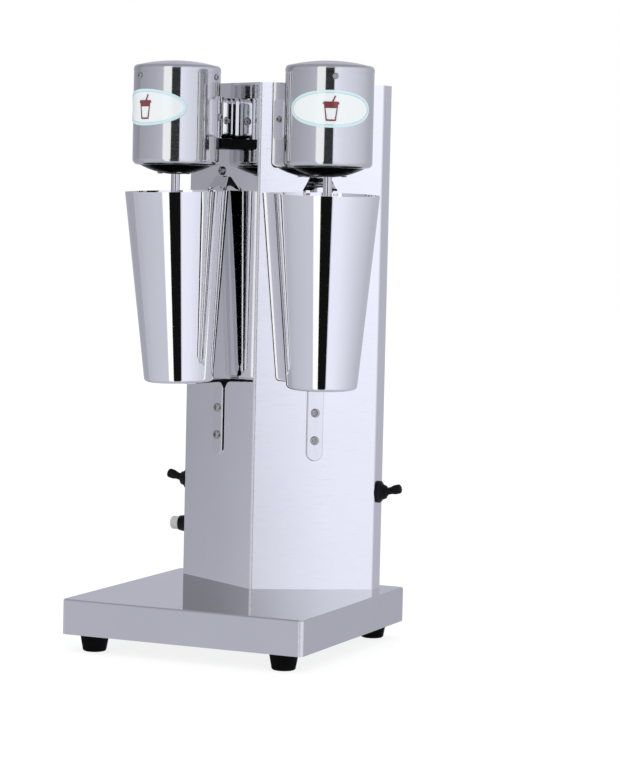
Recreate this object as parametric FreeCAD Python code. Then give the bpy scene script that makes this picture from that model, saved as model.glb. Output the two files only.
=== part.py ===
import FreeCAD, Part
import math
import os

# Double-head milkshake mixer. Millimetres, +Z up, front is -Y, origin on the floor
# under the centre of the base.

Vector = FreeCAD.Vector
UP = Vector(0, 0, 1)
ORIGIN = Vector(0, 0, 0)

# base
BASE_W = 230.0
BASE_D = 230.0
BASE_Z0 = 15.0
BASE_Z1 = 46.0
SHEET = 1.2
FOOT_X = 91.0
FOOT_Y = 98.0
FOOT_R_TOP = 12.7
FOOT_R_LOW = 10.5
FLOOR_PLATE_T = 1.5

# column: folded shell with a V front
COL_TOP = 502.0
COL_HALF_W = 96.0
COL_EDGE_Y = 26.0
COL_SIDE_Y = 83.0
COL_BACK_Y = 102.5
COL_V_R = 3.0
COL_CORNER_R = 2.0
BACK_OPENING = 82.0
BACK_T = 1.2
FACE_ANGLE = math.degrees(math.atan2(COL_SIDE_Y - COL_EDGE_Y, COL_HALF_W))
FACE_X = COL_HALF_W / 2.0
FACE_Y = (COL_EDGE_Y + COL_SIDE_Y) / 2.0

# drive heads (in the face frame: x along the face, -y away from it)
HEAD_OUT = 52.2
HEAD_R = 39.0
HEAD_Z0 = 426.3
CAP_Z = 509.2
CAP_SEAM = 0.65
HEAD_TOP = 520.0
HEAD_WALL = 1.0
HEAD_ROLL_R = 5.0
HEAD_LIP = 1.2
CAP_SCREW_Z = 505.2
NECK_Z0 = 451.5
NECK_Z1 = 488.5
NECK_HALF_W = 19.8
SADDLE_T = 3.0
SADDLE_SCREW_ANGLE = 57.0
CABLE_Z = 470.0
FLANK_SCREW_OUT = 11.6
FLANK_SCREW_Z = 467.5
FLANK_SEAT = 18.2

# spindle, agitator, cup
SPINDLE_R = 4.0
SPINDLE_Z0 = 243.0
SPINDLE_Z1 = 503.0
AGITATOR_R = 14.0
RIM_R = 46.6
RIM_Z = 403.2
RIM_OUT = 50.5
CUP_BASE_R = 31.7
CUP_BASE_Z = 231.7
CUP_BASE_OUT = 44.3
CUP_WALL = 0.8
CUP_CORNER_R = 3.5
CUP_RECESS = 1.5
CUP_H = math.hypot(RIM_Z - CUP_BASE_Z, RIM_OUT - CUP_BASE_OUT)
CUP_LEAN = math.degrees(math.atan2(RIM_OUT - CUP_BASE_OUT, RIM_Z - CUP_BASE_Z))

# cup rest and rim clip
REST_W = 15.0
REST_T = 2.0
REST_ROUND = 0.9
REST_Z0 = 162.7
REST_REACH = 40.5
REST_SCREWS = (181.5, 206.5)
CLIP_Z0 = 406.0
CLIP_Z1 = 418.0
CLIP_TOP = 427.5
CLIP_OUT = 8.6
CLIP_SCREW_Z = 422.6
WIRE_COVER_Z = 442.0

# side controls
CONTROL_Y = 92.75
TOGGLE_Z = 134.6
TOGGLE_TILT = 14.5
TOGGLE_PIVOT = 5.5
FUSE_Z = 92.0

# entry of the cable
GLAND_Z = 70.0
CABLE_R = 3.3

SIDES = (("left", -1), ("right", 1))


# ---------------------------------------------------------------- helpers

def box(x0, x1, y0, y1, z0, z1):
    return Part.makeBox(x1 - x0, y1 - y0, z1 - z0, Vector(x0, y0, z0))


def rod(x, y, z0, z1, r):
    return Part.makeCylinder(r, z1 - z0, Vector(x, y, z0), UP)


def rod_between(a, b, r):
    a = Vector(*a)
    b = Vector(*b)
    return Part.makeCylinder(r, (b - a).Length, a, b - a)


def pipe_run(points, r):
    run = rod_between(points[0], points[1], r)
    for start, end in zip(points[1:], points[2:]):
        run = run.fuse(Part.makeSphere(r, Vector(*start)))
        run = run.fuse(rod_between(start, end, r))
    return run.removeSplitter()


def hexagon(x, y, z0, z1, across_flats):
    r = across_flats / math.sqrt(3.0)
    pts = [Vector(x + r * math.cos(math.radians(60 * i)), y + r * math.sin(math.radians(60 * i)), z0)
           for i in range(7)]
    return Part.Face(Part.makePolygon(pts)).extrude(Vector(0, 0, z1 - z0))


def prism_xy(points, z0, z1):
    pts = [Vector(x, y, z0) for x, y in points]
    return Part.Face(Part.makePolygon(pts + [pts[0]])).extrude(Vector(0, 0, z1 - z0))


def prism_xz(points, y0, y1):
    pts = [Vector(x, y0, z) for x, z in points]
    return Part.Face(Part.makePolygon(pts + [pts[0]])).extrude(Vector(0, y1 - y0, 0))


def prism_yz(points, x0, x1):
    pts = [Vector(x0, y, z) for y, z in points]
    return Part.Face(Part.makePolygon(pts + [pts[0]])).extrude(Vector(x1 - x0, 0, 0))


def revolve(points, x=0.0, y=0.0):
    """Turn a closed profile about Z. A point is (r, z); (r, z, rm, zm) is reached by an
    arc through (rm, zm)."""
    edges = []
    last = points[0]
    for point in list(points[1:]) + [points[0]]:
        a = Vector(last[0], 0, last[1])
        b = Vector(point[0], 0, point[1])
        if len(point) == 4 and point is not points[0]:
            edges.append(Part.Arc(a, Vector(point[2], 0, point[3]), b).toShape())
        elif (a - b).Length > 1e-6:
            edges.append(Part.makeLine(a, b))
        last = point
    solid = Part.Face(Part.Wire(edges)).revolve(ORIGIN, UP, 360)
    if solid.Volume < 0:
        solid.reverse()
    solid.translate(Vector(x, y, 0))
    return solid


def sector(r0, r1, a0, a1, z0, z1, x=0.0, y=0.0):
    ring = Part.makeCylinder(r1, z1 - z0, Vector(0, 0, z0), UP, a1 - a0)
    if r0 > 0:
        ring = ring.cut(Part.makeCylinder(r0, z1 - z0, Vector(0, 0, z0), UP))
    ring.rotate(ORIGIN, UP, a0)
    ring.translate(Vector(x, y, 0))
    return ring


def upright_edges(shape, points, tol=0.2):
    """Vertical edges of a shape that stand on one of the given (x, y) points."""
    found = []
    for edge in shape.Edges:
        a, b = edge.Vertexes[0].Point, edge.Vertexes[-1].Point
        if abs(a.x - b.x) > 1e-3 or abs(a.y - b.y) > 1e-3 or abs(a.z - b.z) < 1.0:
            continue
        if any(math.hypot(a.x - x, a.y - y) < tol for x, y in points):
            found.append(edge)
    return found


def inset(points, distance):
    """Counter-clockwise convex polygon moved inward."""
    lines = []
    n = len(points)
    for i in range(n):
        (x0, y0), (x1, y1) = points[i], points[(i + 1) % n]
        length = math.hypot(x1 - x0, y1 - y0)
        nx, ny = -(y1 - y0) / length, (x1 - x0) / length
        lines.append((nx, ny, nx * x0 + ny * y0 + distance))
    moved = []
    for i in range(n):
        a1, b1, c1 = lines[i - 1]
        a2, b2, c2 = lines[i]
        det = a1 * b2 - a2 * b1
        moved.append(((c1 * b2 - c2 * b1) / det, (a1 * c2 - a2 * c1) / det))
    return moved


def cross_recess(x, y, z, size, depth):
    """Cross-shaped cutter going down from height z."""
    cut = box(-size / 2, size / 2, -size / 7, size / 7, -depth, 0.2)
    cut = cut.fuse(box(-size / 7, size / 7, -size / 2, size / 2, -depth, 0.2))
    cut.translate(Vector(x, y, z))
    return cut


def pan_screw(head_r, head_h, shank_r, shank_l):
    """Screw along Z: head from z = 0 up, shank below, cross recess in the head."""
    head = revolve([(0, 0), (head_r, 0), (head_r, head_h * 0.45),
                    (head_r * 0.45, head_h, head_r * 0.86, head_h * 0.86), (0, head_h)])
    screw = head.fuse(rod(0, 0, -shank_l, 0.01, shank_r)).removeSplitter()
    return screw.cut(cross_recess(0, 0, head_h, head_r * 1.1, head_h * 0.6))


def aim(shape, direction, position):
    """Turn a shape made along +Z to a direction, then move it."""
    turn = FreeCAD.Rotation(UP, Vector(*direction))
    placed = shape.copy()
    placed.Placement = FreeCAD.Placement(Vector(*position), turn)
    return placed


def on_face(shape, side):
    """From the face frame to the left (-1) or right (+1) face of the column."""
    placed = shape.copy()
    placed.rotate(ORIGIN, UP, side * FACE_ANGLE)
    placed.translate(Vector(side * FACE_X, FACE_Y, 0))
    return placed


def save(name, solids):
    if not isinstance(solids, (list, tuple)):
        solids = [solids]
    flat = []
    for item in solids:
        flat += item.Solids
    shape = flat[0] if len(flat) == 1 else Part.makeCompound(flat)
    shape.exportStep("parts/" + name + ".step")


# ---------------------------------------------------------------- base

def column_outline():
    return [(0, COL_EDGE_Y), (COL_HALF_W, COL_SIDE_Y), (COL_HALF_W, COL_BACK_Y),
            (-COL_HALF_W, COL_BACK_Y), (-COL_HALF_W, COL_SIDE_Y)]


def column_bolt_places():
    places = []
    for side in (-1, 1):
        for along in (-22.0, 22.0):
            spot = on_face(rod(along, 11.0, 0, 1, 0.5), side).CenterOfMass
            places.append((spot.x, spot.y))
    return places


def rounded_box(w, d, z0, z1, r):
    block = box(-w / 2, w / 2, -d / 2, d / 2, z0, z1)
    corners = [(sx * w / 2, sy * d / 2) for sx in (-1, 1) for sy in (-1, 1)]
    return block.makeFillet(r, upright_edges(block, corners))


def base_cover():
    outer = rounded_box(BASE_W, BASE_D, BASE_Z0, BASE_Z1, 4.0)
    rim = [e for e in outer.Edges if abs(e.BoundBox.ZMin - BASE_Z1) < 1e-3 and e.BoundBox.ZLength < 1e-3]
    outer = outer.makeFillet(1.6, rim)
    inner = rounded_box(BASE_W - 2 * SHEET, BASE_D - 2 * SHEET, BASE_Z0 - 1, BASE_Z1 - SHEET, 2.8)
    shell = outer.cut(inner)
    shell = shell.cut(box(-35, 35, 62, 96, BASE_Z1 - 5, BASE_Z1 + 1))
    for sx in (-1, 1):
        for sy in (-1, 1):
            tab = box(-16, 24, -16, 17, 17.2, 18.6)
            tab = tab.cut(rod(0, 0, 17, 19, 2.7))
            if sx < 0:
                tab = tab.mirror(ORIGIN, Vector(1, 0, 0))
            if sy < 0:
                tab = tab.mirror(ORIGIN, Vector(0, 1, 0))
            tab.translate(Vector(sx * FOOT_X, sy * FOOT_Y, 0))
            reach = rounded_box(BASE_W - 1.4, BASE_D - 1.4, 17, 19, 3.0)
            shell = shell.fuse(tab.common(reach))
    for x, y in column_bolt_places():
        shell = shell.cut(rod(x, y, BASE_Z1 - 3, BASE_Z1 + 1, 2.7))
    return shell.removeSplitter()


def base_plate():
    side = BASE_W - 2 * SHEET - 0.8
    plate = rounded_box(side, BASE_D - 2 * SHEET - 0.8, 15.6, 15.6 + FLOOR_PLATE_T, 2.5)
    for sx in (-1, 1):
        for sy in (-1, 1):
            plate = plate.cut(rod(sx * FOOT_X, sy * FOOT_Y, 15, 18, 2.7))
    slots = [box(-30, 30, y, y + 3, 15, 18) for y in range(-33, 40, 11)]
    return plate.cut(Part.makeCompound(slots))


def rubber_feet():
    feet = []
    for sx in (-1, 1):
        for sy in (-1, 1):
            foot = revolve([(5.4, 0.0), (FOOT_R_LOW - 2.4, 0.0),
                            (FOOT_R_LOW, 2.2, FOOT_R_LOW - 0.6, 0.7),
                            (FOOT_R_TOP, 14.2), (FOOT_R_TOP - 0.6, 15.0), (10.0, 15.0),
                            (10.0, 15.5), (2.7, 15.5), (2.7, 8.0), (5.4, 8.0)],
                           sx * FOOT_X, sy * FOOT_Y)
            feet.append(foot)
    return feet


def foot_screws():
    screws = []
    for sx in (-1, 1):
        for sy in (-1, 1):
            screw = rod(0, 0, 7.8, 23.5, 2.5)
            screw = screw.fuse(rod(0, 0, 4.4, 7.9, 4.6))
            screw = screw.cut(aim(cross_recess(0, 0, 0, 5.0, 1.8), (0, 0, -1), (0, 0, 4.4)))
            screw = screw.fuse(hexagon(0, 0, 18.7, 22.7, 8.0))
            screw.translate(Vector(sx * FOOT_X, sy * FOOT_Y, 0))
            screws.append(screw.removeSplitter())
    return screws


# ---------------------------------------------------------------- column

def column_shell():
    outline = column_outline()
    outer = prism_xy(outline, BASE_Z1, COL_TOP)
    front = upright_edges(outer, [outline[0]])
    outer = outer.makeFillet(COL_V_R, front)
    outer = outer.makeFillet(COL_CORNER_R, upright_edges(outer, outline[1:]))
    inner_line = inset(outline, SHEET)
    inner = prism_xy(inner_line, BASE_Z1 - 1, COL_TOP + 1)
    inner = inner.makeFillet(COL_V_R - SHEET, upright_edges(inner, [inner_line[0]]))
    inner = inner.makeFillet(COL_CORNER_R - SHEET, upright_edges(inner, inner_line[1:]))
    shell = outer.cut(inner)
    shell = shell.cut(box(-BACK_OPENING, BACK_OPENING, COL_BACK_Y - 4, COL_BACK_Y + 2,
                          BASE_Z1 - 1, COL_TOP + 1))
    for side in (-1, 1):
        tab = on_face(box(-34, 34, 0.6, 19, BASE_Z1, BASE_Z1 + SHEET), side)
        tab = tab.cut(box(-1, 1, COL_EDGE_Y, COL_BACK_Y, BASE_Z1 - 1, BASE_Z1 + 3))
        shell = shell.fuse(tab)
    cutters = [rod(x, y, BASE_Z1 - 1, BASE_Z1 + 3, 2.7) for x, y in column_bolt_places()]
    for name, side in SIDES:
        holes = [rod_between((0, -3, CABLE_Z), (0, 4, CABLE_Z), 6.2)]
        for x, z in neck_bolt_places():
            holes.append(rod_between((x, -3, z), (x, 4, z), 2.7))
        for z in (*REST_SCREWS, CLIP_SCREW_Z):
            holes.append(rod_between((0, -3, z), (0, 4, z), 2.2))
        cutters += [on_face(hole, side) for hole in holes]
        cutters.append(rod_between((side * 90, CONTROL_Y, TOGGLE_Z), (side * 99, CONTROL_Y, TOGGLE_Z), 6.1))
    cutters.append(rod_between((-90, CONTROL_Y, FUSE_Z), (-99, CONTROL_Y, FUSE_Z), 6.1))
    for x, z in back_screw_places():
        cutters.append(rod_between((x, 98, z), (x, 106, z), 1.6))
    return shell.cut(Part.makeCompound(cutters)).removeSplitter()


def column_cap():
    outline = inset(column_outline(), SHEET + 0.4)
    plate = prism_xy(outline, COL_TOP - 1.6, COL_TOP - 0.4)
    skirt_in = inset(outline, 1.0)
    skirt = prism_xy(outline, COL_TOP - 11, COL_TOP - 1.6).cut(prism_xy(skirt_in, COL_TOP - 12, COL_TOP))
    return plate.fuse(skirt).removeSplitter()


def column_bolts():
    bolts = []
    for x, y in column_bolt_places():
        bolt = rod(x, y, BASE_Z1 - 9, BASE_Z1 + 1.3, 2.5)
        bolt = bolt.fuse(hexagon(x, y, BASE_Z1 + 1.3, BASE_Z1 + 4.8, 8.0))
        bolt = bolt.fuse(hexagon(x, y, BASE_Z1 - 5.4, BASE_Z1 - 1.3, 8.0))
        bolts.append(bolt.removeSplitter())
    return bolts


def back_screw_places():
    return [(sx * 88.0, z) for sx in (-1, 1) for z in (62.0, 274.0, 486.0)]


def back_panel():
    panel = box(-93, 93, COL_BACK_Y, COL_BACK_Y + BACK_T, BASE_Z1 + 0.6, 498)
    corners = [e for e in panel.Edges if e.BoundBox.YLength > 1 and e.BoundBox.ZLength < 0.1
               and e.BoundBox.XLength < 0.1]
    panel = panel.makeFillet(4.0, corners)
    cutters = [rod_between((0, 100, GLAND_Z), (0, 106, GLAND_Z), 8.1)]
    for x, z in back_screw_places():
        cutters.append(rod_between((x, 100, z), (x, 106, z), 1.9))
    for z0 in (118, 396):
        for row in range(8):
            z = z0 + row * 9
            for x in (-54, 4):
                slot = box(x + 1.5, x + 48.5, 100, 106, z, z + 3)
                slot = slot.fuse(rod_between((x + 1.5, 100, z + 1.5), (x + 1.5, 106, z + 1.5), 1.5))
                slot = slot.fuse(rod_between((x + 48.5, 100, z + 1.5), (x + 48.5, 106, z + 1.5), 1.5))
                cutters.append(slot)
    return panel.cut(Part.makeCompound(cutters))


def back_panel_screws():
    screw = pan_screw(3.4, 2.2, 1.5, 7.0)
    return [aim(screw, (0, 1, 0), (x, COL_BACK_Y + BACK_T + 0.02, z)) for x, z in back_screw_places()]


def cable_gland():
    y0 = COL_BACK_Y + BACK_T
    body = revolve([(CABLE_R, -9), (7.6, -9), (7.6, 0.02), (10.5, 0.02), (10.5, 4.0), (9.3, 4.0),
                    (9.3, 7.5), (6.5, 11.0, 8.8, 10.0), (CABLE_R, 11.0)])
    body = body.common(hexagon(0, 0, -20, 4.0, 19.0).fuse(rod(0, 0, 3.9, 20, 12)))
    for i in range(12):
        a = math.radians(30 * i)
        body = body.cut(rod(9.9 * math.cos(a), 9.9 * math.sin(a), 4.2, 12, 0.9))
    return aim(body, (0, 1, 0), (0, y0, GLAND_Z))


def gland_nut():
    nut = hexagon(0, 0, -5.0, 0, 19.0).cut(rod(0, 0, -6, 1, 7.65))
    return aim(nut, (0, 1, 0), (0, COL_BACK_Y - 0.02, GLAND_Z))


def terminal_block():
    block = box(26, 66, 84, 102.4, 62, 76)
    for i in range(4):
        x = 31 + 10 * i
        block = block.cut(rod_between((x, 83, 69), (x, 96, 69), 2.4))
        block = block.cut(rod(x, 93, 60, 78, 1.7))
    return block


def earth_terminal():
    screw = rod_between((-40, 91, 70), (-40, 102.45, 70), 2.5)
    head = aim(hexagon(0, 0, 0, 3.2, 8.0), (0, -1, 0), (-40, 93.5, 70))
    tag = box(-45, -35, 96, 97, 58, 75).cut(rod_between((-40, 95, 70), (-40, 98, 70), 2.5))
    return [screw.fuse(head).fuse(tag).removeSplitter()]


def wiring_looms():
    looms = []
    for name, side in SIDES:
        inner = on_face(rod(0, 26, CABLE_Z - 1, CABLE_Z + 1, 1), side).CenterOfMass
        outer = on_face(rod(0, -15.4, CABLE_Z - 1, CABLE_Z + 1, 1), side).CenterOfMass
        start_x = 61.0 if side > 0 else 31.0
        run = [(start_x, 93, 76.2), (start_x, 93, 108), (side * 30, 90, 124), (inner.x, inner.y, 150),
               (inner.x, inner.y, CABLE_Z), (outer.x, outer.y, CABLE_Z)]
        looms.append(pipe_run(run, 2.4))
    return looms


# ---------------------------------------------------------------- controls

def switch_bodies():
    bodies = []
    for name, side in SIDES:
        body = box(66, 93.5, CONTROL_Y - 7, CONTROL_Y + 7, TOGGLE_Z - 15, TOGGLE_Z + 15)
        bush = rod_between((93.4, CONTROL_Y, TOGGLE_Z), (96.1, CONTROL_Y, TOGGLE_Z), 5.9)
        body = body.fuse(bush)
        for z in (-9, 0, 9):
            body = body.fuse(box(58, 66, CONTROL_Y - 2.5, CONTROL_Y + 2.5,
                                 TOGGLE_Z + z - 0.6, TOGGLE_Z + z + 0.6))
        body = body.cut(rod_between((89, CONTROL_Y, TOGGLE_Z), (97, CONTROL_Y, TOGGLE_Z), 4.2))
        body = body.removeSplitter()
        bodies.append(body if side > 0 else body.mirror(ORIGIN, Vector(1, 0, 0)))
    return bodies


def toggle_boots():
    boots = []
    for name, side in SIDES:
        boot = revolve([(6.0, 0.02), (10.0, 0.02), (10.0, 1.4), (9.2, 2.5, 9.8, 2.1), (6.9, 5.0, 7.8, 3.5),
                        (6.1, 7.3), (3.0, 7.3), (3.0, 2.0), (6.0, 2.0)])
        boot = boot.cut(Part.makeSphere(5.3, Vector(0, 0, TOGGLE_PIVOT)))
        boots.append(aim(boot, (side, 0, 0), (side * COL_HALF_W, CONTROL_Y, TOGGLE_Z)))
    return boots


def toggle(side):
    ball = 5.0
    k = ball * math.sqrt(0.5)
    join = math.sqrt(ball * ball - 3.3 * 3.3)
    lever = revolve([(0, -3.4), (math.sqrt(ball * ball - 3.4 * 3.4), -3.4), (k, k, ball, 0),
                     (3.3, join, 3.42, ball * 0.729), (3.3, 7.5), (4.0, 10.0), (4.3, 11.5), (4.3, 14.8),
                     (2.6, 17.0, 3.8, 16.3), (0, 17.3)])
    lever.rotate(ORIGIN, Vector(0, 1, 0), 90 - TOGGLE_TILT)
    if side < 0:
        lever = lever.mirror(ORIGIN, Vector(1, 0, 0))
    lever.translate(Vector(side * (COL_HALF_W + TOGGLE_PIVOT), CONTROL_Y, TOGGLE_Z))
    return lever


def fuse_holder():
    body = revolve([(3.6, -30), (5.9, -30), (5.9, 0.02), (8.1, 0.02), (8.1, 1.6), (7.0, 8.5),
                    (6.5, 8.5), (6.5, 4.0), (3.6, 4.0)])
    return aim(body, (-1, 0, 0), (-COL_HALF_W, CONTROL_Y, FUSE_Z))


def fuse_cap():
    cap = revolve([(0, 4.4), (5.8, 4.4), (6.1, 5.0), (6.1, 14.6), (4.0, 17.3, 5.5, 16.7), (0, 17.5)])
    cap = cap.cut(box(-5, 5, -0.6, 0.6, 16.2, 18))
    return aim(cap, (-1, 0, 0), (-COL_HALF_W, CONTROL_Y, FUSE_Z))


def fuse_link():
    link = revolve([(0, -22), (3.2, -22), (3.2, -16), (2.7, -16), (2.7, -4), (3.2, -4), (3.2, 3.9), (0, 3.9)])
    return aim(link, (-1, 0, 0), (-COL_HALF_W, CONTROL_Y, FUSE_Z))


# ---------------------------------------------------------------- neck

def neck_bolt_places():
    return [(sx * 12.5, z) for sx in (-1, 1) for z in (NECK_Z0 + 8.0, NECK_Z1 - 8.0)]


def saddle_ear(sx):
    """End of the saddle: a curved pad with rounded corners and one screw hole."""
    a = math.radians(90 - sx * SADDLE_SCREW_ANGLE)
    ray = (math.cos(a), math.sin(a), 0)
    pad = box(-9.0, 9.0, -(NECK_Z1 - NECK_Z0) / 2, (NECK_Z1 - NECK_Z0) / 2, 20, 60)
    corners = [e for e in pad.Edges if e.BoundBox.ZLength > 1 and e.BoundBox.XLength < 0.1
               and e.BoundBox.YLength < 0.1]
    pad = pad.makeFillet(5.0, corners)
    turn = FreeCAD.Rotation(Vector(-ray[1], ray[0], 0), UP, Vector(*ray), "ZXY")
    pad.Placement = FreeCAD.Placement(Vector(0, 0, (NECK_Z0 + NECK_Z1) / 2), turn)
    ring = sector(HEAD_R + 0.05, HEAD_R + SADDLE_T, 0, 360, NECK_Z0, NECK_Z1)
    ear = pad.common(ring)
    inside, outside = [(ray[0] * r, ray[1] * r, CABLE_Z) for r in (38, 44)]
    return ear.cut(rod_between(inside, outside, 1.55))


def rounded_wire(half_w, z0, z1, y, r):
    """Rectangle with rounded corners, standing in the plane y."""
    w, h = half_w - r, (z1 - z0) / 2 - r
    mid = (z0 + z1) / 2
    k = r * math.sqrt(0.5)
    edges = []
    for sx, sz in ((1, 1), (-1, 1), (-1, -1), (1, -1)):
        along = Vector(sx * (w + r), y, mid + sz * h)
        corner = Vector(sx * (w + k), y, mid + sz * (h + k))
        above = Vector(sx * w, y, mid + sz * (h + r))
        ends = (along, above) if sx * sz > 0 else (above, along)
        if edges:
            edges.append(Part.makeLine(edges[-1].lastVertex(True).Point, ends[0]))
        edges.append(Part.Arc(ends[0], corner, ends[1]).toShape())
    edges.append(Part.makeLine(edges[-1].lastVertex(True).Point, edges[0].firstVertex(True).Point))
    return Part.Wire(edges)


def flared_slab(sections, drop, r):
    """Slab in slices (y, half width); drop is how far its ends stand back from the neck's."""
    wires = [rounded_wire(half_w, NECK_Z0 + drop, NECK_Z1 - drop, y, r) for y, half_w in sections]
    return Part.makeLoft(wires, True, True)


def neck(side):
    """Plated casting: plate on the column, two upright grooves with a rib between them, and a
    throat that flares out to the saddle round the head."""
    plate = flared_slab(((0.0, NECK_HALF_W - 1.1), (-2.0, NECK_HALF_W - 0.2)), 0.0, 4.5)
    core = flared_slab(((-1.0, NECK_HALF_W - 3.0), (-10.0, NECK_HALF_W - 3.0)), 2.4, 3.5)
    rib = flared_slab(((-4.2, NECK_HALF_W - 0.9), (-6.7, NECK_HALF_W - 0.1)), 0.4, 4.5)
    flare = ((-8.7, -1.5), (-11.5, -0.4), (-14.5, 0.5), (-17.5, 1.0), (-24.0, 1.2))
    throat = flared_slab([(y, NECK_HALF_W + more) for y, more in flare], 0.8, 5.0)
    body = plate.fuse([core, rib, throat]).removeSplitter()
    inner = SADDLE_SCREW_ANGLE - 10.0
    band = sector(HEAD_R + 0.05, HEAD_R + SADDLE_T, 90 - inner, 90 + inner, NECK_Z0, NECK_Z1)
    band = band.fuse([saddle_ear(-1), saddle_ear(1)])
    band.translate(Vector(0, -HEAD_OUT, 0))
    body = body.cut(rod(0, -HEAD_OUT, NECK_Z0 - 5, NECK_Z1 + 5, HEAD_R + 0.05)).fuse(band)
    body = body.removeSplitter()
    body = body.cut(rod_between((0, -30, CABLE_Z), (0, 4, CABLE_Z), 6.0))
    for x, z in neck_bolt_places():
        body = body.cut(rod_between((x, -8.0, z), (x, 1, z), 2.55))
    for sx in (-1, 1):
        reaches = (FLANK_SEAT - 4.7, FLANK_SEAT, 30.0)
        bore = [(sx * reach, -FLANK_SCREW_OUT, FLANK_SCREW_Z) for reach in reaches]
        body = body.cut(rod_between(bore[0], bore[1], 1.55)).cut(rod_between(bore[1], bore[2], 3.5))
    return on_face(body, side)


def neck_bolts():
    bolts = []
    for name, side in SIDES:
        for x, z in neck_bolt_places():
            shank = rod_between((x, -7.9, z), (x, 4.3, z), 2.5)
            head = aim(hexagon(0, 0, 0, 3.5, 8.0), (0, 1, 0), (x, 4.2, z))
            bolts.append(on_face(shank.fuse(head).removeSplitter(), side))
    return bolts


def saddle_screws():
    """Two through the ears of each saddle and one in each flank of the throat."""
    screws = []
    screw = pan_screw(3.2, 1.8, 1.5, 4.5)
    for name, side in SIDES:
        for sx in (-1, 1):
            a = math.radians(90 - sx * SADDLE_SCREW_ANGLE)
            ray = (math.cos(a), math.sin(a), 0)
            reach = HEAD_R + SADDLE_T + 0.02
            screws.append(at_head(aim(screw, ray, (ray[0] * reach, ray[1] * reach, CABLE_Z)), side))
            seat = (sx * (FLANK_SEAT + 0.02), -FLANK_SCREW_OUT, FLANK_SCREW_Z)
            screws.append(on_face(aim(screw, (sx, 0, 0), seat), side))
    return screws


def backing_plates():
    plates = []
    for name, side in SIDES:
        plate = box(-24, 24, SHEET + 0.05, 4.15, NECK_Z0 - 6, NECK_Z1 + 2)
        plate = plate.cut(rod_between((0, 0, CABLE_Z), (0, 6, CABLE_Z), 6.2))
        for x, z in neck_bolt_places():
            plate = plate.cut(rod_between((x, 0, z), (x, 6, z), 2.7))
        plates.append(on_face(plate, side))
    return plates


def wire_covers():
    """Black moulding under each neck."""
    covers = []
    for name, side in SIDES:
        cover = box(-23, 23, -19.0, -0.02, WIRE_COVER_Z, NECK_Z0 - 0.1)
        cover = cover.cut(rod(0, -HEAD_OUT, WIRE_COVER_Z - 5, NECK_Z0 + 5, HEAD_R + 0.1))
        lower = [e for e in cover.Edges if abs(e.BoundBox.ZMax - WIRE_COVER_Z) < 1e-3
                 and e.BoundBox.YLength > 12 and e.BoundBox.XLength < 0.1]
        cover = cover.makeFillet(3.0, lower)
        covers.append(on_face(cover, side))
    return covers


# ---------------------------------------------------------------- drive head

def at_head(shape, side):
    placed = shape.copy()
    placed.translate(Vector(0, -HEAD_OUT, 0))
    return on_face(placed, side)


def cap_screw_angles():
    return (-90.0, 30.0, 150.0)


def motor_housing(side):
    r = HEAD_R
    t = HEAD_WALL
    q = HEAD_ROLL_R
    k = math.sqrt(0.5)
    z = HEAD_Z0
    shell = revolve([(r, CAP_Z - CAP_SEAM), (r, z + q), (r - q, z, r - q + q * k, z + q - q * k),
                     (r - q - HEAD_LIP, z),
                     (r - q - HEAD_LIP, z + t), (r - q, z + t),
                     (r - t, z + q, r - q + (q - t) * k, z + q - (q - t) * k), (r - t, CAP_Z - CAP_SEAM)])
    shell = shell.cut(rod_between((0, 28, CABLE_Z), (0, 44, CABLE_Z), 5.8))
    holes = [(angle, CAP_SCREW_Z) for angle in cap_screw_angles()]
    holes += [(90 - sx * SADDLE_SCREW_ANGLE, CABLE_Z) for sx in (-1, 1)]
    for angle, z in holes:
        a = math.radians(angle)
        ray = (math.cos(a), math.sin(a))
        shell = shell.cut(rod_between((ray[0] * 36, ray[1] * 36, z), (ray[0] * 42, ray[1] * 42, z), 1.6))
    return at_head(shell, side)


def dome_height(r, rim_r, rise):
    """Height over the rim of a spherical dome with a given rise."""
    ball = (rim_r * rim_r + rise * rise) / (2 * rise)
    return rise - ball + math.sqrt(ball * ball - r * r)


def housing_cap(side):
    r = HEAD_R
    out_r, out_z = r - 3.4, CAP_Z + 6.4
    in_r, in_z = r - 3.8, CAP_Z + 5.1
    half = 18.0
    cap = revolve([(r - 1.15, 498.5), (r - 1.15, CAP_Z), (r + 0.15, CAP_Z), (r + 0.15, CAP_Z + 3.0),
                   (out_r, out_z, r - 0.9, CAP_Z + 5.4),
                   (0, HEAD_TOP, half, out_z + dome_height(half, out_r, HEAD_TOP - out_z)),
                   (0, HEAD_TOP - 1.2),
                   (in_r, in_z, half, in_z + dome_height(half, in_r, HEAD_TOP - 1.2 - in_z)),
                   (r - 2.3, CAP_Z + 3.0, r - 2.5, CAP_Z + 4.3), (r - 2.3, 498.5)])
    for angle in cap_screw_angles():
        a = math.radians(angle)
        ray = (math.cos(a), math.sin(a))
        cap = cap.cut(rod_between((ray[0] * 34, ray[1] * 34, CAP_SCREW_Z),
                                  (ray[0] * 39, ray[1] * 39, CAP_SCREW_Z), 1.55))
    return at_head(cap, side)


def cap_screws():
    screws = []
    screw = pan_screw(2.7, 1.5, 1.5, 4.0)
    for name, side in SIDES:
        for angle in cap_screw_angles():
            a = math.radians(angle)
            ray = (math.cos(a), math.sin(a), 0)
            place = (ray[0] * (HEAD_R + 0.1), ray[1] * (HEAD_R + 0.1), CAP_SCREW_Z)
            screws.append(at_head(aim(screw, ray, place), side))
    return screws


COVER_SCREW_R = 14.5


def cover_screw_angles():
    return (-20.0, 100.0, 220.0)


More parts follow.
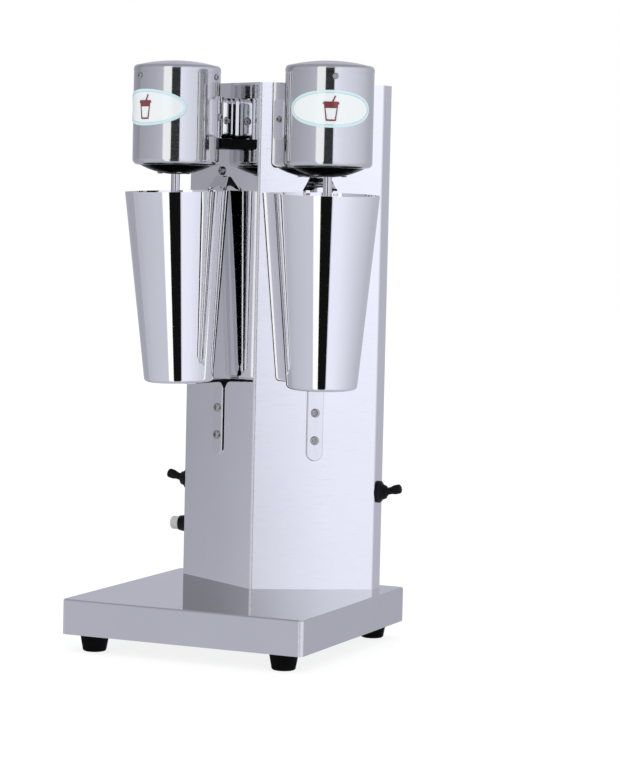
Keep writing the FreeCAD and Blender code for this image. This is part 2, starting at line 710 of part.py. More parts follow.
def bottom_cover(side):
    low, rise = 418.3, 8.2
    edge_r = HEAD_R - HEAD_ROLL_R - HEAD_LIP - 0.2
    half = 18.0
    wall = 1.6
    mid_z = low + rise - dome_height(half, edge_r, rise)
    cover = revolve([(0, low), (edge_r, low + rise, half, mid_z), (edge_r, 429.0), (edge_r - wall, 429.0),
                     (edge_r - wall, low + rise + 0.6), (0, low + wall, half, mid_z + wall)])
    flange = sector(edge_r - wall + 0.1, 34.4, 0, 360, 427.4, 428.9)
    cover = cover.fuse(flange).removeSplitter()
    cover = cover.cut(rod(0, 0, 415, 425, 5.6))
    for angle in cover_screw_angles():
        a = math.radians(angle)
        x, y = COVER_SCREW_R * math.cos(a), COVER_SCREW_R * math.sin(a)
        cover = cover.cut(rod(x, y, 415, 425, 1.6))
        cover = cover.cut(rod(x, y, 415, 420.1, 3.0))
    return at_head(cover, side)


def bottom_cover_screws():
    screws = []
    for name, side in SIDES:
        for angle in cover_screw_angles():
            a = math.radians(angle)
            screw = aim(pan_screw(2.6, 1.3, 1.5, 9.0), (0, 0, -1),
                        (COVER_SCREW_R * math.cos(a), COVER_SCREW_R * math.sin(a), 420.05))
            screws.append(at_head(screw, side))
    return screws


def stator_cores():
    cores = []
    for name, side in SIDES:
        core = sector(19.5, 34.0, 0, 360, 449, 477)
        for pole in (90, 270):
            for slot in (-60, 40):
                core = core.cut(sector(20.2, 31.0, pole + slot, pole + slot + 20, 440, 490))
        for sx in (-1, 1):
            core = core.cut(rod(sx * 28.0, 0, 440, 490, 2.1))
        cores.append(at_head(core, side))
    return cores


def field_coils():
    coils = []
    for name, side in SIDES:
        for pole in (90, 270):
            coil = sector(21.0, 30.2, pole - 58, pole + 58, 443, 483)
            coil = coil.cut(sector(15, 34, pole - 42, pole + 42, 448.6, 477.4))
            coils.append(at_head(coil, side))
    return coils


def end_brackets():
    brackets = []
    for name, side in SIDES:
        for z_plate, z0, z1 in ((493.0, 490.4, 499.0), (434.0, 430.0, 438.6)):
            disc = rod(0, 0, z_plate, z_plate + 2.6, 35.4).fuse(rod(0, 0, z0, z1, 14.0))
            disc = disc.cut(rod(0, 0, z0 - 1, z1 + 1, 9.0))
            disc = disc.cut(rod(0, 0, (z0 + z1) / 2 - 3.55, (z0 + z1) / 2 + 3.55, 11.02))
            for sx in (-1, 1):
                disc = disc.cut(rod(sx * 28.0, 0, z0 - 1, z1 + 1, 2.1))
            for i in range(6):
                a = math.radians(30 + 60 * i)
                disc = disc.cut(rod(24.5 * math.cos(a), 24.5 * math.sin(a), z0 - 1, z1 + 1, 4.5))
            brackets.append(at_head(disc.removeSplitter(), side))
    return brackets


def motor_bearings():
    rings = []
    for name, side in SIDES:
        for z in (494.7, 434.3):
            ring = sector(SPINDLE_R + 0.04, 11.0, 0, 360, z - 3.5, z + 3.5)
            ring = ring.cut(sector(7.0, 9.0, 0, 360, z + 2.8, z + 4))
            ring = ring.cut(sector(7.0, 9.0, 0, 360, z - 4, z - 2.8))
            rings.append(at_head(ring, side))
    return rings


def motor_through_bolts():
    bolts = []
    for name, side in SIDES:
        for sx in (-1, 1):
            bolt = rod(sx * 28.0, 0, 431.0, 498.4, 2.0)
            bolt = bolt.fuse(hexagon(sx * 28.0, 0, 495.7, 498.5, 7.0))
            bolt = bolt.fuse(hexagon(sx * 28.0, 0, 431.0, 433.9, 7.0))
            bolts.append(at_head(bolt.removeSplitter(), side))
    return bolts


def brush_holders():
    holders = []
    for name, side in SIDES:
        for sx in (-1, 1):
            holder = box(14.3, 33.0, -4.5, 4.5, 484.2, 491.8).cut(box(12.0, 32.0, -2.6, 2.6, 485.2, 490.8))
            holder = holder.cut(box(12.0, 40.0, -6.0, 6.0, 491.0, 493.0))
            holder = holder.cut(rod(28.0, 0, 480, 496, 3.2))
            if sx < 0:
                holder = holder.mirror(ORIGIN, Vector(1, 0, 0))
            holders.append(at_head(holder, side))
    return holders


def carbon_brushes():
    brushes = []
    for name, side in SIDES:
        for sx in (-1, 1):
            brush = box(10.3, 22.0, -2.5, 2.5, 485.3, 490.0)
            if sx < 0:
                brush = brush.mirror(ORIGIN, Vector(1, 0, 0))
            brushes.append(at_head(brush, side))
    return brushes


def armature(side):
    core = rod(0, 0, 449, 477, 18.8)
    for i in range(12):
        a = math.radians(30 * i)
        core = core.cut(rod(17.6 * math.cos(a), 17.6 * math.sin(a), 440, 490, 1.3))
    core = core.fuse(revolve([(5.0, 441.5), (13.0, 441.5), (16.0, 444.0), (16.0, 449.2), (5.0, 449.2)]))
    core = core.fuse(revolve([(5.0, 476.8), (16.0, 476.8), (16.0, 480.0), (11.0, 483.0), (5.0, 483.0)]))
    core = core.fuse(rod(0, 0, 482.8, 490.2, 10.0))
    core = core.cut(rod(0, 0, 430, 500, SPINDLE_R + 0.01))
    return at_head(core.removeSplitter(), side)


def spindle(side):
    shaft = revolve([(0, SPINDLE_Z0), (3.4, SPINDLE_Z0), (SPINDLE_R, SPINDLE_Z0 + 0.6),
                     (SPINDLE_R, SPINDLE_Z1 - 0.6), (3.4, SPINDLE_Z1), (0, SPINDLE_Z1)])
    return at_head(shaft, side)


def agitator(side):
    z = SPINDLE_Z0
    hub = revolve([(SPINDLE_R + 0.01, z), (5.6, z), (6.2, z + 0.6), (6.2, z + 9.0), (5.2, z + 11.0),
                   (SPINDLE_R + 0.01, z + 11.0)])
    disc = revolve([(5.5, z + 3.2), (9.0, z + 3.2), (AGITATOR_R - 0.6, z + 1.2),
                    (AGITATOR_R, z + 1.9, AGITATOR_R, z + 1.3), (AGITATOR_R - 0.8, z + 2.6),
                    (9.2, z + 4.8), (5.5, z + 4.8)])
    whisk = hub.fuse(disc)
    for i in range(4):
        fin = prism_xz([(5.8, z + 4.5), (AGITATOR_R - 1.2, z + 2.3), (AGITATOR_R - 2.6, z + 6.2),
                        (5.8, z + 8.4)], -0.6, 0.6)
        fin.rotate(ORIGIN, UP, 90 * i)
        whisk = whisk.fuse(fin)
    return at_head(whisk.removeSplitter(), side)


# ---------------------------------------------------------------- cup, rest, clip

def cup(side):
    """Drawn steel beaker: cone with a rounded foot and a slightly recessed bottom."""
    t = CUP_WALL
    q = CUP_CORNER_R
    slope = math.atan2(RIM_R - CUP_BASE_R, CUP_H)
    turn = math.pi / 2 - slope
    cx = CUP_BASE_R - q
    k = math.radians(-45) - slope / 2
    out_end = (cx + q * math.cos(slope), q - q * math.sin(slope))
    out_mid = (cx + q * math.cos(k), q + q * math.sin(k))
    in_end = (cx + (q - t) * math.cos(slope), q - (q - t) * math.sin(slope))
    in_mid = (cx + (q - t) * math.cos(k), q + (q - t) * math.sin(k))
    rim_t = t / math.sin(turn)
    body = revolve([(0, CUP_RECESS), (cx - 3.6, CUP_RECESS), (cx - 2.2, 0), (cx, 0),
                    (out_end[0], out_end[1], out_mid[0], out_mid[1]), (RIM_R, CUP_H),
                    (RIM_R - rim_t, CUP_H), in_end, (cx, t, in_mid[0], in_mid[1]), (cx - 1.9, t),
                    (cx - 3.3, CUP_RECESS + t), (0, CUP_RECESS + t)])
    body.rotate(ORIGIN, Vector(1, 0, 0), CUP_LEAN)
    body.translate(Vector(0, -CUP_BASE_OUT, CUP_BASE_Z))
    return on_face(body, side)


def rest_top(out):
    """Height of the shelf's upper side at a distance from the face."""
    return CUP_BASE_Z + (CUP_BASE_OUT - out) * math.tan(math.radians(CUP_LEAN)) - 0.15


def cup_rest(side):
    """One bent strip: leg on the column, shelf under the cup, small lip at the end."""
    half = REST_W / 2
    leg = box(-half, half, -REST_T, 0, REST_Z0 + half, 234.0)
    foot = rod_between((0, 0, REST_Z0 + half), (0, -REST_T, REST_Z0 + half), half)
    leg = leg.makeFillet(REST_ROUND, [e for e in leg.Edges if e.BoundBox.ZLength > 1
                                      and e.BoundBox.YMax < -REST_T + 1e-3])
    foot = foot.makeFillet(REST_ROUND, [e for e in foot.Edges if e.BoundBox.YMax < -REST_T + 1e-3])
    leg = leg.fuse(foot)
    shelf_line = [(0, rest_top(0)), (-REST_REACH + 2.0, rest_top(REST_REACH - 2.0)),
                  (-REST_REACH + 1.6, rest_top(REST_REACH) + 1.0), (-REST_REACH, rest_top(REST_REACH) + 1.0),
                  (-REST_REACH, rest_top(REST_REACH) - 1.6), (-REST_REACH + 0.9, rest_top(REST_REACH) - 2.5),
                  (-6.0, rest_top(6.0) - 2.5), (-3.6, rest_top(6.0) - 3.3), (-2.0, rest_top(6.0) - 6.0),
                  (0, 222.0)]
    shelf = prism_yz(shelf_line, -half, half)
    cut_top = prism_yz([(1, rest_top(-1)), (-3, rest_top(3)), (-3, 240), (1, 240)], -half - 1, half + 1)
    strip = leg.cut(cut_top).fuse(shelf)
    nose = rod_between((0, -REST_REACH + 26, 200), (0, -REST_REACH + 26, 260), 27.0)
    strip = strip.common(nose.fuse(box(-half - 1, half + 1, -REST_REACH + 20, 1, 150, 260)))
    for z in REST_SCREWS:
        strip = strip.cut(rod_between((0, -5, z), (0, 1, z), 2.2))
    return on_face(strip.removeSplitter(), side)


def holder_screws():
    """Pan screws with nuts: two through each cup rest, one through each clip."""
    screws = []
    screw = pan_screw(4.0, 2.4, 2.0, 9.0)
    for name, side in SIDES:
        for z in (*REST_SCREWS, CLIP_SCREW_Z):
            placed = aim(screw, (0, -1, 0), (0, -REST_T - 0.02, z))
            nut = aim(hexagon(0, 0, 0, 3.0, 7.0), (0, 1, 0), (0, SHEET + 0.05, z))
            screws.append(on_face(placed.fuse(nut).removeSplitter(), side))
    return screws


def cup_clip(side):
    """Bent steel clip: flat tab under its screw, leaf that leans out over the rim of the cup,
    arched foot, and two fingers that reach just inside the rim."""
    outline = prism_xz([(-9.2, CLIP_Z1), (-14.7, CLIP_Z0), (14.7, CLIP_Z0), (9.2, CLIP_Z1)], -12, 0)
    leaf = prism_yz([(0, CLIP_Z1), (-REST_T, CLIP_Z1), (-CLIP_OUT, CLIP_Z0), (-CLIP_OUT + 1.8, CLIP_Z0)],
                    -16, 16)
    arch = rod_between((0.6, -14, CLIP_Z0 - 12.2), (0.6, 1, CLIP_Z0 - 12.2), 15.6)
    tab = prism_xz([(-9.2, CLIP_Z1 - 0.3), (9.2, CLIP_Z1 - 0.3), (6.6, CLIP_TOP), (-6.6, CLIP_TOP)],
                   -REST_T, 0)
    clip = outline.common(leaf).cut(arch).fuse(tab)
    for x0, x1 in ((-14.0, -10.2), (10.6, 14.4)):
        finger = prism_yz([(-7.2, CLIP_Z0 + 2.4), (-8.3, CLIP_Z0), (-8.3, CLIP_Z0 - 3.8),
                           (-9.7, CLIP_Z0 - 3.8), (-9.9, CLIP_Z0 - 2.0), (-9.9, CLIP_Z0 + 0.6)], x0, x1)
        clip = clip.fuse(finger)
    clip = clip.cut(rod_between((0, -5, CLIP_SCREW_Z), (0, 1, CLIP_SCREW_Z), 2.2))
    return on_face(clip.removeSplitter(), side)


# ---------------------------------------------------------------- badges

BADGE_Z = 477.0
BADGE_HALF_W = 40.5
BADGE_HALF_H = 16.2
BADGE_TURN = {1: -5.0, -1: 12.0}


def badge_prism(scale_s, scale_z):
    """Oval that is an ellipse once unrolled from the head, as a bar towards -y."""
    pts = []
    for i in range(72):
        a = math.radians(5 * i)
        s = BADGE_HALF_W * scale_s * math.cos(a)
        pts.append((HEAD_R * math.sin(s / HEAD_R), BADGE_Z + BADGE_HALF_H * scale_z * math.sin(a)))
    curve = Part.BSplineCurve()
    curve.interpolate([Vector(x, 0, z) for x, z in pts], PeriodicFlag=True)
    return Part.Face(Part.Wire(curve.toShape())).extrude(Vector(0, -50, 0))


def curved_skin(bar, r0, r1, side):
    ring = sector(r0, r1, 180, 360, BADGE_Z - 30, BADGE_Z + 30)
    skin = bar.common(ring)
    skin.rotate(ORIGIN, UP, BADGE_TURN[side])
    return at_head(skin, side)


def badge_plates():
    return [curved_skin(badge_prism(0.93, 0.84), HEAD_R + 0.04, HEAD_R + 0.55, side) for n, side in SIDES]


def badge_rims():
    ring = badge_prism(1.0, 1.0).cut(badge_prism(0.935, 0.85))
    return [curved_skin(ring, HEAD_R + 0.04, HEAD_R + 0.85, side) for n, side in SIDES]


def badge_icons():
    """Plain picture: a tumbler with a lid line and a straw."""
    glass = prism_xz([(-6.2, BADGE_Z + 4.0), (6.2, BADGE_Z + 4.0), (4.4, BADGE_Z - 10.5),
                      (-4.4, BADGE_Z - 10.5)], -50, 0)
    window = prism_xz([(-4.9, BADGE_Z + 0.6), (4.9, BADGE_Z + 0.6), (3.4, BADGE_Z - 9.2),
                       (-3.4, BADGE_Z - 9.2)], -51, 1)
    lid = prism_xz([(-7.4, BADGE_Z + 4.0), (7.4, BADGE_Z + 4.0), (6.4, BADGE_Z + 6.2),
                    (-6.4, BADGE_Z + 6.2)], -50, 0)
    straw = prism_xz([(0.6, BADGE_Z + 6.0), (2.0, BADGE_Z + 6.0), (4.4, BADGE_Z + 11.2),
                      (3.0, BADGE_Z + 11.2)], -50, 0)
    picture = glass.cut(window).fuse([lid, straw]).removeSplitter()
    return [curved_skin(picture, HEAD_R + 0.57, HEAD_R + 0.9, side) for n, side in SIDES]


# ---------------------------------------------------------------- export

os.makedirs("parts", exist_ok=True)

FIXED = (base_cover, base_plate, rubber_feet, foot_screws, column_shell, column_cap, column_bolts,
         back_panel, back_panel_screws, cable_gland, gland_nut, terminal_block, earth_terminal,
         wiring_looms, switch_bodies, toggle_boots, fuse_holder, fuse_cap, fuse_link, neck_bolts,
         saddle_screws, backing_plates, wire_covers, cap_screws, bottom_cover_screws, stator_cores,
         field_coils, end_brackets, motor_bearings, motor_through_bolts, brush_holders,
         carbon_brushes, holder_screws, badge_plates, badge_rims, badge_icons)

PAIRED = (toggle, neck, motor_housing, housing_cap, bottom_cover, armature, spindle, agitator, cup,
          cup_rest, cup_clip)

for build in FIXED:
    save(build.__name__, build())

for build in PAIRED:
    for name, side in SIDES:
        save(build.__name__ + "_" + name, build(side))
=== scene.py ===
import math

import bpy
from mathutils import Matrix, Vector


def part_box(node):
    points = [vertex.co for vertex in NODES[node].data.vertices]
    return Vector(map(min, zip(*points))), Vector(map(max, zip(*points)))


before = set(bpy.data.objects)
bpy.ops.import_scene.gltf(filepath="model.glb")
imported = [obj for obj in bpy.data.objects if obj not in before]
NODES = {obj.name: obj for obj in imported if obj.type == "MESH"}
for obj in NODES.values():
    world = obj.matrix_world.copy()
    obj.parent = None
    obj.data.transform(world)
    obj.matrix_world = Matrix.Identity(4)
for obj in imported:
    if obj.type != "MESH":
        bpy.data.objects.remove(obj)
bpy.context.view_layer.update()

# Looks of a double-head milkshake mixer: camera, studio and the finish of every piece.
# Lengths are in metres, in the frame of the CAD model, and angles in degrees.

# ---------------------------------------------------------------- camera

CAMERA_AZIMUTH = 23.77
CAMERA_ELEVATION = 4.14
CAMERA_ROLL = 1.3
CAMERA_DISTANCE = 2.366
CAMERA_AIM = (0.0665, 0.0, 0.2335)
CAMERA_REACH = 50.0
# in millimetres
CAMERA_LENS, CAMERA_SENSOR = 124.84, 36.0


def make_camera():
    az, el = math.radians(CAMERA_AZIMUTH), math.radians(CAMERA_ELEVATION)
    back = Vector((math.sin(az) * math.cos(el), -math.cos(az) * math.cos(el), math.sin(el)))
    data = bpy.data.cameras.new("camera")
    data.sensor_width = CAMERA_SENSOR
    data.lens = CAMERA_LENS
    data.clip_end = CAMERA_REACH
    cam = bpy.data.objects.new("camera", data)
    bpy.context.scene.collection.objects.link(cam)
    cam.rotation_mode = "QUATERNION"
    cam.location = Vector(CAMERA_AIM) + back * CAMERA_DISTANCE
    roll = Matrix.Rotation(math.radians(CAMERA_ROLL), 3, "Z")
    cam.rotation_quaternion = (back.to_track_quat("Z", "Y").to_matrix() @ roll).to_quaternion()
    bpy.context.scene.camera = cam


# ---------------------------------------------------------------- node helpers

# sockets of the Mix node when it mixes colours, since its names repeat for other kinds of data
MIX_FACTOR, MIX_A, MIX_B, MIX_RESULT = 0, 6, 7, 2


class Graph:
    """Short calls for a node tree: graph.noise(...), graph.math(...), graph.ramp(...)."""

    def __init__(self, tree):
        self.tree = tree
        tree.nodes.clear()

    def node(self, kind, inputs=None, **settings):
        n = self.tree.nodes.new(kind)
        for key, value in settings.items():
            setattr(n, key, value)
        for key, value in (inputs or {}).items():
            self.feed(n.inputs[key], value)
        return n

    def feed(self, socket, value):
        if isinstance(value, bpy.types.NodeSocket):
            self.tree.links.new(value, socket)
        else:
            socket.default_value = value

    def math(self, operation, a, b=0.0, clamp=False):
        return self.node("ShaderNodeMath", {0: a, 1: b}, operation=operation, use_clamp=clamp).outputs[0]

    def span(self, value, low, high, to_low=0.0, to_high=1.0, smooth=False):
        kind = "SMOOTHSTEP" if smooth else "LINEAR"
        n = self.node("ShaderNodeMapRange", interpolation_type=kind)
        for key, v in (("Value", value), ("From Min", low), ("From Max", high),
                       ("To Min", to_low), ("To Max", to_high)):
            self.feed(n.inputs[key], v)
        return n.outputs[0]

    def mix(self, factor, a, b):
        n = self.node("ShaderNodeMix", data_type="RGBA")
        for key, value in ((MIX_FACTOR, factor), (MIX_A, a), (MIX_B, b)):
            self.feed(n.inputs[key], value)
        return n.outputs[MIX_RESULT]

    def ramp(self, value, stops):
        n = self.node("ShaderNodeValToRGB", {"Fac": value})
        band = n.color_ramp
        while len(band.elements) < len(stops):
            band.elements.new(0.5)
        for element, (position, colour) in zip(band.elements, stops):
            element.position = position
            element.color = rgba(colour)
        return n.outputs["Color"]

    def place(self, stretch=(1, 1, 1)):
        """Object coordinates, in metres, stretched per axis."""
        coords = self.node("ShaderNodeTexCoord").outputs["Object"]
        return self.node("ShaderNodeMapping", {"Vector": coords, "Scale": stretch}).outputs[0]

    def noise(self, scale, detail=3.0, roughness=0.5, stretch=(1, 1, 1)):
        n = self.node("ShaderNodeTexNoise", {"Vector": self.place(stretch), "Scale": scale,
                                             "Detail": detail, "Roughness": roughness})
        return n.outputs["Fac"]

    def bump(self, height, strength, distance, normal=None):
        inputs = {"Height": height, "Strength": strength, "Distance": distance}
        if normal is not None:
            inputs["Normal"] = normal
        return self.node("ShaderNodeBump", inputs).outputs[0]


def rgba(colour):
    if isinstance(colour, (int, float)):
        return (colour, colour, colour, 1.0)
    return (*colour[:3], 1.0)


def shade(colour, k):
    return tuple(c * k for c in colour[:3])


# ---------------------------------------------------------------- studio

# A tent of pale cards, seen only in the mirror of the steel: one white strip beside a black flag,
# and a bright card on the right. Each card is (degrees from the front towards +X, brightness). The
# three rows hang at rising elevations and blend into each other. The brightness is set for
# the view of the camera above.
CARDS_LOW = ((-180, 0.52), (-156, 0.57), (-132, 0.44), (-108, 0.42), (-88.1, 0.445), (-87.3, 0.465),
             (-86.95, 0.52), (-86.5, 0.62), (-85.5, 0.58), (-83, 0.52), (-60, 0.575), (-35, 0.60),
             (-20, 0.62), (35.5, 0.60), (36.6, 0.685), (37.6, 0.87), (38.8, 0.93), (46, 0.92),
             (60, 0.90), (95, 0.75), (120, 0.64), (152, 0.53), (180, 0.52))
CARDS_MID = ((-180, 0.52), (-156, 0.58), (-132, 0.42), (-108, 0.36), (-88.1, 0.335), (-87.3, 0.35),
             (-86.95, 0.38), (-86.5, 0.44), (-85.5, 0.44), (-83, 0.43), (-60, 0.47), (-35, 0.53),
             (-20, 0.58), (35.5, 0.90), (36.6, 1.01), (37.6, 1.07), (38.8, 1.10), (46, 1.05),
             (60, 0.96), (95, 0.84), (120, 0.72), (152, 0.54), (180, 0.52))
CARDS_HIGH = ((-180, 0.52), (-156, 0.565), (-132, 0.48), (-108, 0.34), (-88.1, 0.235), (-87.3, 0.245),
              (-86.95, 0.31), (-86.5, 0.42), (-85.5, 0.42), (-83, 0.38), (-60, 0.42), (-35, 0.50),
              (-20, 0.55), (35.5, 0.45), (36.6, 0.50), (37.0, 0.64), (37.6, 0.77), (38.8, 0.90),
              (46, 0.98), (60, 0.94), (95, 0.82), (120, 0.70), (152, 0.55), (180, 0.52))
CARD_TINT = (0.925, 0.94, 1.08)
# elevations of the three rows
LOW_ANGLE, MID_ANGLE, HIGH_ANGLE = -12.0, 2.5, 9.0
# edges of the white strip and the black flag at the low and the middle row, and how far each
# edge fades to either side
STRIP_FROM, STRIP_FADE = (-6.0, -9.5), 1.6
FLAG_FROM, FLAG_TO, FLAG_FADE = (9.6, 12.6), (35.2, 35.2), 0.5
# the flag is gone at the first elevation and whole at the second
FLAG_TOP = (16.0, 10.0)
# the walls give way to the roof and to the pit between these elevations
ROOF_RISE, PIT_FALL = (16.0, 55.0), (-25.0, -60.0)
STRIP_LIGHT = 1.12
FLAG_LIGHT = 0.006
ROOF_LIGHT = 0.40
PIT_LIGHT = 0.52
# what matt surfaces receive, and what the camera sees behind the object
MATT_LIGHT = (0.98, 0.985, 1.0)
BACKDROP_LIGHT = 1.0
# the floor is a grey card with a glow of its own, which comes out nearly white
FLOOR_HALF, FLOOR_TONE, FLOOR_ROUGH, FLOOR_GLOW = 6.0, 0.26, 0.9, 0.82


def card_stops(cards):
    return [((degrees + 180.0) / 360.0, shade(CARD_TINT, level)) for degrees, level in cards]


def make_world():
    world = bpy.data.worlds.new("studio")
    bpy.context.scene.world = world
    world.use_nodes = True
    g = Graph(world.node_tree)
    direction = g.node("ShaderNodeTexCoord").outputs["Generated"]
    xyz = g.node("ShaderNodeSeparateXYZ", {0: direction})
    forward = g.math("MULTIPLY", xyz.outputs[1], -1.0)
    turn = g.math("DEGREES", g.math("ARCTAN2", xyz.outputs[0], forward))
    height = g.math("DEGREES", g.math("ARCSINE", xyz.outputs[2]))
    around = g.span(turn, -180.0, 180.0)
    low, middle, high = [g.ramp(around, card_stops(c)) for c in (CARDS_LOW, CARDS_MID, CARDS_HIGH)]
    rise = g.span(height, LOW_ANGLE, MID_ANGLE)
    walls = g.mix(rise, low, middle)
    walls = g.mix(g.span(height, MID_ANGLE, HIGH_ANGLE), walls, high)

    def edge(places, fade):
        place = g.span(rise, 0.0, 1.0, *places)
        return g.span(g.math("SUBTRACT", turn, place), -fade, fade, smooth=True)

    into_strip = edge(STRIP_FROM, STRIP_FADE)
    into_flag, out_of_flag = edge(FLAG_FROM, FLAG_FADE), edge(FLAG_TO, FLAG_FADE)
    strip = g.math("SUBTRACT", into_strip, into_flag, clamp=True)
    flag = g.math("SUBTRACT", into_flag, out_of_flag, clamp=True)
    flag = g.math("MULTIPLY", flag, g.span(height, *FLAG_TOP))
    walls = g.mix(strip, walls, rgba(STRIP_LIGHT))
    walls = g.mix(flag, walls, rgba(FLAG_LIGHT))
    roof_light, pit_light = [rgba(shade(CARD_TINT, level)) for level in (ROOF_LIGHT, PIT_LIGHT)]
    roof = g.mix(g.span(height, *ROOF_RISE, smooth=True), walls, roof_light)
    tent = g.mix(g.span(height, *PIT_FALL, smooth=True), roof, pit_light)
    path = g.node("ShaderNodeLightPath")
    soft = g.mix(path.outputs["Is Diffuse Ray"], tent, rgba(MATT_LIGHT))
    seen = g.mix(path.outputs["Is Camera Ray"], soft, rgba(BACKDROP_LIGHT))
    background = g.node("ShaderNodeBackground", {"Color": seen, "Strength": 1.0})
    g.node("ShaderNodeOutputWorld", {"Surface": background.outputs[0]})


def make_floor():
    half = FLOOR_HALF
    mesh = bpy.data.meshes.new("floor")
    mesh.from_pydata([(-half, -half, 0), (half, -half, 0), (half, half, 0), (-half, half, 0)], [],
                     [(0, 1, 2, 3)])
    floor = bpy.data.objects.new("floor", mesh)
    bpy.context.scene.collection.objects.link(floor)
    floor.visible_glossy = False
    material = bpy.data.materials.new("floor_card")
    material.use_nodes = True
    g = Graph(material.node_tree)
    surface = g.node("ShaderNodeBsdfPrincipled", {
        "Base Color": rgba(FLOOR_TONE), "Roughness": FLOOR_ROUGH, "Specular IOR Level": 0.0,
        "Emission Color": rgba(1.0), "Emission Strength": FLOOR_GLOW})
    g.node("ShaderNodeOutputMaterial", {"Surface": surface.outputs[0]})
    mesh.materials.append(material)


# ---------------------------------------------------------------- materials

LIBRARY = {}

# the values of a noise between which a tone or a roughness turns into the other
CLOUD = (0.3, 0.7)
DUST = (0.35, 0.75)
GRAIN = (0.25, 0.75)
WIPED = (0.52, 0.78)
SCRATCH = (0.54, 0.72)

# tone and roughness of polished steel in its clouds, as a share of the rest
CLOUD_TONE, CLOUD_ROUGH = 0.97, 0.7
# scale of the clouds against the grain, on plain metal and on mouldings
METAL_CLOUDS, MOULDED_CLOUDS = 0.06, 0.03
# how finely the polishing lines change along each axis
TURNED, ROLLED, UPRIGHT, LENGTHWISE = (40, 40, 3600), (60, 60, 2600), (2600, 2600, 60), (60, 2600, 2600)

# the dull band on the column's front fold, which also carries a painted highlight: its half width and the
# share of it that is fully dull
FOLD_HALF_WIDTH, FOLD_CORE = 0.0017, 0.7
# the dull upright corners of the base, which also carry a painted highlight: how far in from the sides
# they start, and their fade
CORNER_INSET, CORNER_FADE = 0.0036, 0.0005
# the roughness that is added there, and the lighter tone that paints a highlight there
WORN_ROUGH, EDGE_PAINTED_HIGHLIGHT_TONE = 0.48, 0.98

# the column's front fold and its sides, and the turn of its front faces
COLUMN_EDGE_Y, COLUMN_SIDE_Y, COLUMN_HALF_WIDTH = 0.026, 0.083, 0.096
FACE_TURN = math.atan2(COLUMN_SIDE_Y - COLUMN_EDGE_Y, COLUMN_HALF_WIDTH)
# heights of the clip's leaf, and how far its middle stands off the face at the top and the foot
LEAF_TOP, LEAF_FOOT = 0.4172, 0.4062
LEAF_OUT = (0.0014, 0.0075)
# the clip's steel, and the painted shade on its leaf, a dull black patch: tones, roughness, scratches or
# grain
CLIP_TONES, CLIP_ROUGH, CLIP_HAZE = (0.84, 0.88), 0.05, 0.12
PAINTED_SHADE_TONES, PAINTED_SHADE_ROUGH, PAINTED_SHADE_GRAIN, PAINTED_SHADE_DEPTH = (0.003, 0.008), 0.5, 0.3, 0.00003

# a piece whose top is less than this above the base cover stays out of the mirrors
BASE_MARGIN = 0.001


def material(name):
    m = bpy.data.materials.new(name)
    m.use_nodes = True
    LIBRARY[name] = m
    return Graph(m.node_tree)


def output(g, inputs):
    surface = g.node("ShaderNodeBsdfPrincipled", inputs)
    g.node("ShaderNodeOutputMaterial", {"Surface": surface.outputs[0]})


def upright_fold(g, half_width):
    """1 on the upright fold in the middle of the column, falling to 0 at half_width."""
    x = g.node("ShaderNodeSeparateXYZ", {0: g.place()}).outputs[0]
    return g.span(g.math("ABSOLUTE", x), half_width, half_width * FOLD_CORE)


def upright_corners(g, from_x, from_y):
    """1 on the four upright corners, beyond from_x and from_y from the middle."""
    xyz = g.node("ShaderNodeSeparateXYZ", {0: g.place()})
    beyond_x = g.span(g.math("ABSOLUTE", xyz.outputs[0]), from_x, from_x + CORNER_FADE)
    beyond_y = g.span(g.math("ABSOLUTE", xyz.outputs[1]), from_y, from_y + CORNER_FADE)
    return g.math("MULTIPLY", beyond_x, beyond_y)


def polished(name, colour, rough, haze, lines_along, wave, film=0.0, smear=0.02, edge_dulling_and_highlight=None):
    """Mirror-polished metal. lines_along stretches the polishing lines per axis, haze is the
    roughness of the fine scratches, wave the height of the slow ripples, film the share of the
    surface that a dull film covers, smear the roughness that wiped patches add, edge_dulling_and_highlight
    a function that gives the mask of the edges that get extra roughness and a painted highlight."""
    g = material(name)
    cloud = g.noise(scale=14.0, detail=4.0, roughness=0.55)
    patches = g.noise(scale=38.0, detail=5.0, roughness=0.6, stretch=(1, 1, 0.35))
    wiped = g.span(patches, *WIPED, 0.0, smear)
    lines = g.noise(scale=1.0, detail=2.0, roughness=0.6, stretch=lines_along)
    scratch = g.span(lines, *SCRATCH, 0.0, haze)
    tone = g.mix(g.span(cloud, *CLOUD), rgba(shade(colour, CLOUD_TONE)), rgba(colour))
    gloss = g.math("ADD", g.span(cloud, *CLOUD, rough * CLOUD_ROUGH, rough), wiped)
    gloss = g.math("ADD", gloss, scratch)
    if edge_dulling_and_highlight is not None:
        where = edge_dulling_and_highlight(g)
        gloss = g.math("ADD", gloss, g.math("MULTIPLY", where, WORN_ROUGH))
        # painted highlight: on the masked edges the tone turns lighter
        tone = g.mix(where, tone, rgba(EDGE_PAINTED_HIGHLIGHT_TONE))
    ripple = g.noise(scale=7.0, detail=1.0, roughness=0.4)
    wavy = g.bump(ripple, strength=1.0, distance=wave)
    fine = g.bump(lines, strength=0.04, distance=0.000004, normal=wavy)
    output(g, {"Base Color": tone, "Metallic": 1.0 - film, "Roughness": gloss, "Normal": fine})


